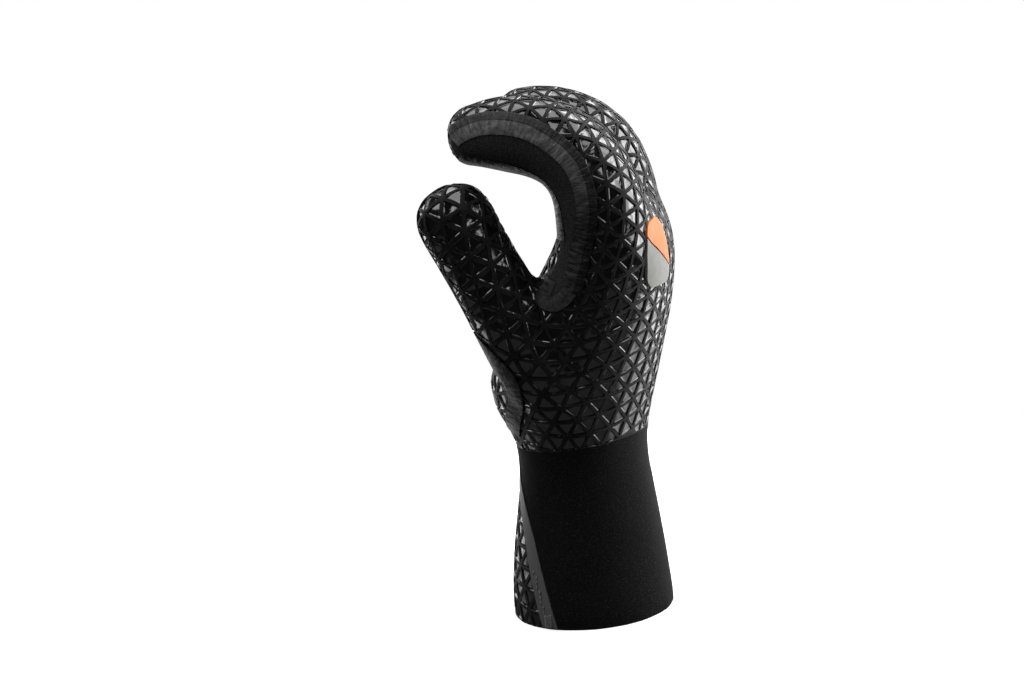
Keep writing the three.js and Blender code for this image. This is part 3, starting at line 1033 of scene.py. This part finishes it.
class Finish:
    # one material: the shader, and short ways to add its textures
    def __init__(self, name, roughness, **sockets):
        self.material = bpy.data.materials.new(name)
        self.material.use_nodes = True
        self.tree = self.material.node_tree
        self.shader = self.tree.nodes["Principled BSDF"]
        self.shader.inputs["Roughness"].default_value = roughness
        for socket, value in sockets.items():
            self.shader.inputs[socket.replace("_", " ")].default_value = value
        self.coords = self.tree.nodes.new("ShaderNodeTexCoord")

    def node(self, kind, settings=None, **inputs):
        made = self.tree.nodes.new("ShaderNode" + kind)
        for key, value in (settings or {}).items():
            setattr(made, key, value)
        for socket, value in inputs.items():
            target = made.inputs[socket.replace("_", " ")]
            if isinstance(value, bpy.types.NodeSocket):
                self.tree.links.new(value, target)
            else:
                target.default_value = value
        return made

    def place(self, source="Object", scale=(1, 1, 1), turn=0):
        spot = self.coords.outputs[source]
        made = self.node("Mapping", Vector=spot, Scale=scale, Rotation=(0, 0, turn))
        return made.outputs["Vector"]

    def noise(self, where, scale, detail=3, roughness=0.55):
        made = self.node("TexNoise", Vector=where, Scale=scale, Detail=detail, Roughness=roughness)
        return made.outputs["Fac"]

    def ramp(self, value, *stops):
        made = self.node("ValToRGB", Fac=value)
        elements = made.color_ramp.elements
        for index in (0, -1):
            position, colour = stops[index]
            elements[index].position = position
            elements[index].color = (*colour, 1)
        for position, colour in stops[1:-1]:
            elements.new(position).color = (*colour, 1)
        return made.outputs["Color"]

    def multiply(self, first, second, share=1):
        inputs = {"Fac": share, "Color1": first, "Color2": second}
        return self.node("MixRGB", {"blend_type": "MULTIPLY"}, **inputs).outputs["Color"]

    def span(self, value, low, high):
        return self.node("MapRange", Value=value, To_Min=low, To_Max=high).outputs["Result"]

    def share(self, value, start, end):
        # how far the value is from start to end, as 0 to 1
        return self.node("MapRange", Value=value, From_Min=start, From_Max=end).outputs["Result"]

    def bump(self, height, strength, distance, normal=None):
        inputs = {"Height": height, "Strength": strength, "Distance": distance}
        if normal:
            inputs["Normal"] = normal
        return self.node("Bump", **inputs).outputs["Normal"]

    def link(self, value, socket):
        self.tree.links.new(value, self.shader.inputs[socket])


def grey(level, tint=0.04):
    return (level, level, level * (1 + tint))


ribLook = {
    "base": (0.006, 0.012),
    "roughness": (0.48, 0.68),
    "specular": 0.07,
    "mottle": 260,  # scales of the textures
    "hatch": 850,
    "grain": 2200,
    "hatchBump": (0.6, 0.0002),  # strength and depth
    "grainBump": (0.35, 0.00012),
}


def makeRibRubber(look):
    finish = Finish("ribRubber", look["roughness"][0], Specular_IOR_Level=look["specular"])
    spot = finish.place()
    mottle = finish.noise(spot, look["mottle"])
    dark, light = look["base"]
    finish.link(finish.ramp(mottle, (0.35, grey(dark)), (0.65, grey(light))), "Base Color")
    wave = {"Vector": finish.place("UV"), "Scale": look["hatch"], "Distortion": 0.6}
    hatch = finish.node("TexWave", {"bands_direction": "DIAGONAL"}, **wave).outputs["Fac"]
    hatched = finish.bump(hatch, *look["hatchBump"])
    grain = finish.noise(spot, look["grain"], 2)
    finish.link(finish.span(mottle, *look["roughness"]), "Roughness")
    finish.link(finish.bump(grain, *look["grainBump"], hatched), "Normal")
    return finish.material


paneLook = {
    "base": (0.0015, 0.0035),
    "roughness": (0.05, 0.2),
    "specular": 0.75,
    "slow": 110,
    "fine": 520,
    "slowBump": (0.9, 0.002),
    "fineBump": (0.4, 0.0002),
}


def makePaneRubber(look):
    finish = Finish("paneRubber", look["roughness"][0], Specular_IOR_Level=look["specular"])
    spot = finish.place()
    slow = finish.noise(spot, look["slow"], 1)
    fine = finish.noise(spot, look["fine"], 2)
    dark, light = look["base"]
    finish.link(finish.ramp(slow, (0.3, grey(dark)), (0.7, grey(light))), "Base Color")
    finish.link(finish.span(slow, *look["roughness"]), "Roughness")
    waved = finish.bump(slow, *look["slowBump"])
    finish.link(finish.bump(fine, *look["fineBump"], waved), "Normal")
    return finish.material


jerseyLook = {
    "base": {"cuffJersey": 0.0075, "gussetJersey": 0.027},
    "shares": {"cuffJersey": (0.5, 1.4, 5), "gussetJersey": (0.5, 1.4, 2.4)},  # dark, plain and painted glint: the knit's speckled grain, whose brightest specks are painted light glinting on the fibres
    "shade": 0.75,  # of the darker clouds
    "roughness": 0.92,
    "specular": 0.06,
    "sheen": {"Sheen_Weight": 0.01, "Sheen_Roughness": 0.4},
    "speckAndGlint": 1900,
    "cloud": 24,
    "knit": 2300,
    "knitBump": (0.45, 0.00012),
    "cloudBump": (0.25, 0.003),
}


def makeJersey(name, look):
    finish = Finish(name, look["roughness"], Specular_IOR_Level=look["specular"], **look["sheen"])
    spot = finish.place()
    speckAndGlint = finish.noise(spot, look["speckAndGlint"], 2, 0.75)
    cloud = finish.noise(spot, look["cloud"], 3)
    dark, plain, paintedGlint = (grey(look["base"][name] * share) for share in look["shares"][name])
    # the knit's speckled grain; its brightest specks are painted glints of light on the fibres
    tone = finish.ramp(speckAndGlint, (0.42, dark), (0.6, plain), (0.74, paintedGlint))
    shade = finish.ramp(cloud, (0.3, grey(look["shade"], 0)), (0.7, grey(1, 0)))
    finish.link(finish.multiply(tone, shade), "Base Color")
    flatter = finish.place(scale=(1, 1, 0.6))
    knit = finish.node("TexVoronoi", Vector=flatter, Scale=look["knit"]).outputs["Distance"]
    clouded = finish.bump(cloud, *look["cloudBump"])
    finish.link(finish.bump(knit, *look["knitBump"], clouded), "Normal")
    return finish.material


tapeLook = {
    "base": {  # grey, and the wrinkles' slant in degrees
        "tapeRubber": (0.115, 28),
        "tapeDark": (0.02, 25),
        "webRubber": (0.032, 70),
        "cuffTapeRubber": (0.12, 4),
        "thread": (0.4, 30),
    },
    "roughness": (0.4, 0.62),
    "specular": 0.12,
    "ripple": (520, 150, 1),
    "broad": (160, 260, 1),
    "rippleBump": (0.8, 0.0018),
    "broadBump": (0.5, 0.0015),
    # painted shade and highlight: how strongly the wrinkles' height darkens their hollows and lightens
    # their crests
    "creaseShaded": 0.7,
    "across": (-0.005, 0.005),  # the steps below run from the one to the other, over the seam
    "plain": ((0, 0.9), (1, 1)),
    "edged": ((0, 0.8), (0.25, 1.1), (0.6, 0.95), (0.66, 0.12), (0.7, 0.4), (0.78, 0.28), (1, 0.3)),
    "paintedWebShade": (0.056, 0.086),  # along an edged tape, where painted shade darkens it towards the web of the thumb
    "paintedWebShadeLevel": 0.16,
}


def makeTapeRubber(name, look):
    # wrinkled across the seam, with painted shade in the wrinkles' hollows and painted highlight on their
    # crests; the edged one has a dark outer edge beside a sewn line, and painted shade along it towards the
    # web
    finish = Finish(name, look["roughness"][0], Specular_IOR_Level=look["specular"])
    level, slant = look["base"][name]
    edged = name == "tapeRubber"
    laid = finish.node("SeparateXYZ", Vector=finish.coords.outputs["UV"])
    across = finish.share(laid.outputs["Y"], *look["across"])
    ripple = finish.noise(finish.place("UV", look["ripple"], math.radians(slant)), 1, 3)
    # painted shade in the wrinkles' hollows and painted highlight on their crests, from the same noise that
    # bumps them
    creaseShade = finish.ramp(ripple, (0.38, grey(0.5, 0)), (0.62, grey(1.2, 0)))
    broad = finish.noise(finish.place("UV", look["broad"]), 1, 2)
    steps = look["edged" if edged else "plain"]
    tone = finish.ramp(across, *((position, grey(level * share)) for position, share in steps))
    shade = finish.ramp(broad, (0.3, grey(0.65, 0)), (0.7, grey(1.1, 0)))
    creaseShaded = finish.multiply(finish.multiply(tone, shade), creaseShade, look["creaseShaded"])
    if edged:
        # painted shade: the tape darkens along its length towards the web of the thumb, where shade falls
        # between thumb and finger
        along = finish.share(laid.outputs["X"], *look["paintedWebShade"])
        paintedWebShade = finish.ramp(along, (0, grey(1, 0)), (1, grey(look["paintedWebShadeLevel"], 0)))
        creaseShaded = finish.multiply(creaseShaded, paintedWebShade)
    finish.link(creaseShaded, "Base Color")
    finish.link(finish.span(broad, *look["roughness"]), "Roughness")
    uneven = finish.bump(broad, *look["broadBump"])
    finish.link(finish.bump(ripple, *look["rippleBump"], uneven), "Normal")
    return finish.material


liningLook = {
    "base": (0.006, 0.02),
    "roughness": 0.95,
    "specular": 0.1,
    "sheen": 0.2,
    "pile": 1500,
    "pileBump": (0.6, 0.0003),
}


def makeLining(look):
    sockets = {"Specular_IOR_Level": look["specular"], "Sheen_Weight": look["sheen"]}
    finish = Finish("lining", look["roughness"], **sockets)
    pile = finish.noise(finish.place(), look["pile"], 3, 0.7)
    dark, light = look["base"]
    finish.link(finish.ramp(pile, (0.35, grey(dark)), (0.7, grey(light))), "Base Color")
    finish.link(finish.bump(pile, *look["pileBump"]), "Normal")
    return finish.material


badgeLook = {
    "badgeOrange": ((0.44, 0.12, 0.02), (0.5, 0.145, 0.028)),
    "badgeGrey": ((0.15, 0.15, 0.14), (0.19, 0.19, 0.178)),
    "roughness": (0.5, 0.65),
    "specular": 0.15,
    "mottle": 400,
    "grain": 1500,
    "grainBump": (0.25, 0.0001),
}


def makeBadge(name, look):
    finish = Finish(name, look["roughness"][0], Specular_IOR_Level=look["specular"])
    spot = finish.place()
    mottle = finish.noise(spot, look["mottle"], 3)
    dark, light = look[name]
    finish.link(finish.ramp(mottle, (0.3, dark), (0.7, light)), "Base Color")
    finish.link(finish.span(mottle, *look["roughness"]), "Roughness")
    grain = finish.noise(spot, look["grain"], 2)
    finish.link(finish.bump(grain, *look["grainBump"]), "Normal")
    return finish.material


def makeFloorPaint(settings):
    finish = Finish("floorPaint", 0.85, Specular_IOR_Level=0.2, Emission_Color=(1, 1, 1, 1))
    clouds = finish.noise(finish.place(), settings["floorClouds"])
    dark, light = settings["floor"]
    tone = finish.ramp(clouds, (0.4, grey(dark, 0)), (0.6, grey(light, 0)))
    seen = finish.node("LightPath").outputs["Is Camera Ray"]
    behind = finish.node("SeparateXYZ", Vector=finish.place()).outputs["Y"]
    toBack = finish.share(behind, *settings["floorTurn"])
    front, back = settings["floorGiven"]
    card = finish.ramp(toBack, (0, grey(front, 0)), (1, grey(back, 0)))
    mixed = finish.node("MixRGB", Fac=seen, Color1=card, Color2=tone).outputs["Color"]
    finish.link(mixed, "Base Color")
    finish.link(finish.span(seen, 0, settings["floorGlow"]), "Emission Strength")
    return finish.material


ribRubber = makeRibRubber(ribLook)
paneRubber = makePaneRubber(paneLook)
lining = makeLining(liningLook)
jersey = {name: makeJersey(name, jerseyLook) for name in jerseyLook["base"]}
rubber = {name: makeTapeRubber(name, tapeLook) for name in tapeLook["base"]}
badgeRubber = {name: makeBadge(name, badgeLook) for name in ("badgeOrange", "badgeGrey")}
floor.data.materials.append(makeFloorPaint(studio))
say("materials")

pieces = {  # the node that it replaces, its slot and its finish
    "cuffSleeve": ("cuff", "jersey", jersey["cuffJersey"]),
    "cuffWedge": ("cuff_grip_wedge", "grip", ribRubber),
    "backPanel": ("back_panel", "grip", ribRubber),
    "palmPanel": ("palm_panel", "grip", ribRubber),
    "sideGusset": ("index_gusset", "jersey", jersey["gussetJersey"]),
    "splitGusset": ("split_gusset", "jersey", jersey["gussetJersey"]),
    "gussetTape": ("index_seam_tape", "tape", rubber["tapeRubber"]),
    "gussetPalmTape": ("palm_seam_tape", "tape", rubber["tapeDark"]),
    "webPatch": ("index_seam_tape", "tape", rubber["webRubber"]),
    "heelTape": ("thumb_seam_tape", "tape", rubber["tapeDark"]),
    "cuffTapeNear": ("cuff_tape_near", "tape", rubber["cuffTapeRubber"]),
    "cuffTapeFar": ("cuff_tape_far", "tape", rubber["cuffTapeRubber"]),
    "thumbBand": ("back_panel", "grip", ribRubber),
    "badgeUpper": ("back_badge", "badge", badgeRubber["badgeOrange"]),
    "badgeLower": ("back_badge", "badge", badgeRubber["badgeGrey"]),
}
allPieces = {**panels, **tapes, **badges}
stitches.data.materials.append(rubber["thread"])
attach(stitches, "root")
remove(outerCopy, shell)
for name, (node, slot, finish) in pieces.items():
    piece = allPieces[name]
    if name in panels:
        for place, material in enumerate((finish, lining, lining, paneRubber)):
            piece.data.materials[place] = material
            piece.material_slots[place].material = material
    else:
        piece.data.materials.clear()
        piece.data.materials.append(finish)
    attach(allPieces[name], "root")
    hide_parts(node)
say("pieces ride")
